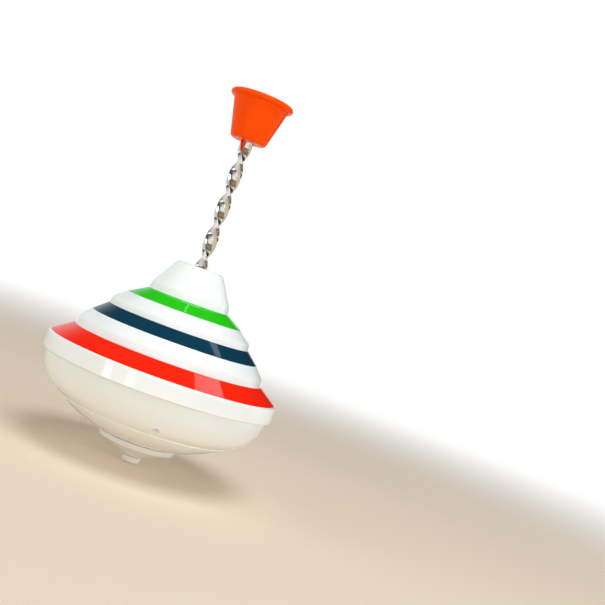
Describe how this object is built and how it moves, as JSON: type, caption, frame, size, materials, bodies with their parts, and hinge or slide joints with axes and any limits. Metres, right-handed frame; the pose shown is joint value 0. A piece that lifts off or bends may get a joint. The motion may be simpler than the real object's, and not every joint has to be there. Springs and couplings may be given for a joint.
{
  "type": "light-up spinning top",
  "caption": "Hand-pumped spinning top: cup handle on a twisted strip, stepped banded dome, round bowl with a foot ring and a short tip, lights and sound inside.",
  "frame": {"origin": "centre of the small flat at the point of the tip", "axes": "+Z along the spin axis, up through the rod to the handle; -Y is the side that faces the viewer"},
  "size_m": [0.1046, 0.1046, 0.1701],
  "materials": {
    "white_shell": "glossy moulded ABS",
    "white_tip": "polished nylon",
    "green_gloss": "glossy",
    "navy_gloss": "glossy",
    "red_gloss": "glossy",
    "orange_cup": "satin moulded polypropylene",
    "bright_strip": "bright nickel plating",
    "plated_steel": "zinc plated",
    "natural_acetal": "satin",
    "green_board": "solder mask",
    "red_lens": "clear tinted epoxy",
    "green_lens": "clear tinted epoxy",
    "blue_lens": "clear tinted epoxy",
    "black_epoxy": "matte",
    "black_abs": "satin",
    "phosphor_bronze": "rolled",
    "turned_brass": "turned",
    "cell_steel": "nickel plated",
    "red_wire": "PVC",
    "black_wire": "PVC"
  },
  "bodies": {
    "body": {"upper_shell": "white_shell", "lower_shell": "white_shell", "foot_cap": "white_shell", "battery_door": "white_shell", "tip": "white_tip", "green_band": "green_gloss", "navy_band": "navy_gloss", "red_band": "red_gloss", "tip_screw": "plated_steel", "shell_screw_1": "plated_steel", "shell_screw_2": "plated_steel", "shell_screw_3": "plated_steel", "shell_screw_4": "plated_steel", "clutch_screw_1": "plated_steel", "clutch_screw_2": "plated_steel", "clutch_screw_3": "plated_steel", "board_screw_1": "plated_steel", "board_screw_2": "plated_steel", "board_screw_3": "plated_steel", "battery_door_screw": "plated_steel", "contact_plate_1": "plated_steel", "contact_plate_2": "plated_steel", "clutch_housing": "natural_acetal", "circuit_board": "green_board", "lamp_red": "red_lens", "lamp_green": "green_lens", "lamp_blue": "blue_lens", "melody_chip": "black_epoxy", "switch_base": "black_abs", "battery_holder": "black_abs", "speaker": "black_abs", "switch_post": "turned_brass", "button_cell_1": "cell_steel", "button_cell_2": "cell_steel", "button_cell_3": "cell_steel", "speaker_lead_1": "red_wire", "speaker_lead_2": "black_wire"},
    "thrust_washer": {"thrust_washer": "natural_acetal"},
    "drive_nut": {"drive_nut": "natural_acetal"},
    "rod_guide": {"rod_guide": "natural_acetal"},
    "rod": {"twisted_rod": "bright_strip", "handle_cup": "orange_cup", "push_washer": "plated_steel"},
    "spin_switch": {"switch_leaf": "phosphor_bronze", "switch_weight": "turned_brass"}
  },
  "joints": [
    {"name": "clutch_float", "type": "slide", "parent": "body", "child": "thrust_washer", "axis": [0, 0, 1], "range_m": [-0.0012, 0]},
    {"name": "clutch_spin", "type": "hinge", "parent": "thrust_washer", "child": "drive_nut", "pos_m": [0, 0, 0.0837], "axis": [0, 0, 1], "continuous": true},
    {"name": "pump", "type": "slide", "parent": "drive_nut", "child": "rod_guide", "axis": [0, 0, 1], "range_m": [-0.0575, 0]},
    {"name": "rod_twist", "type": "hinge", "parent": "rod_guide", "child": "rod", "pos_m": [0, 0, 0.1177], "axis": [0, 0, 1], "continuous": true},
    {"name": "spin_switch", "type": "hinge", "parent": "body", "child": "spin_switch", "pos_m": [0.01705, -0.01446, 0.0367], "axis": [0, 0, -1], "range_deg": [0, 6], "stiffness_Nm_per_rad": 0.002}
  ],
  "couplings": [
    {"joint": "rod_twist", "follows": "pump", "rad_per_m": -209.44}
  ]
}
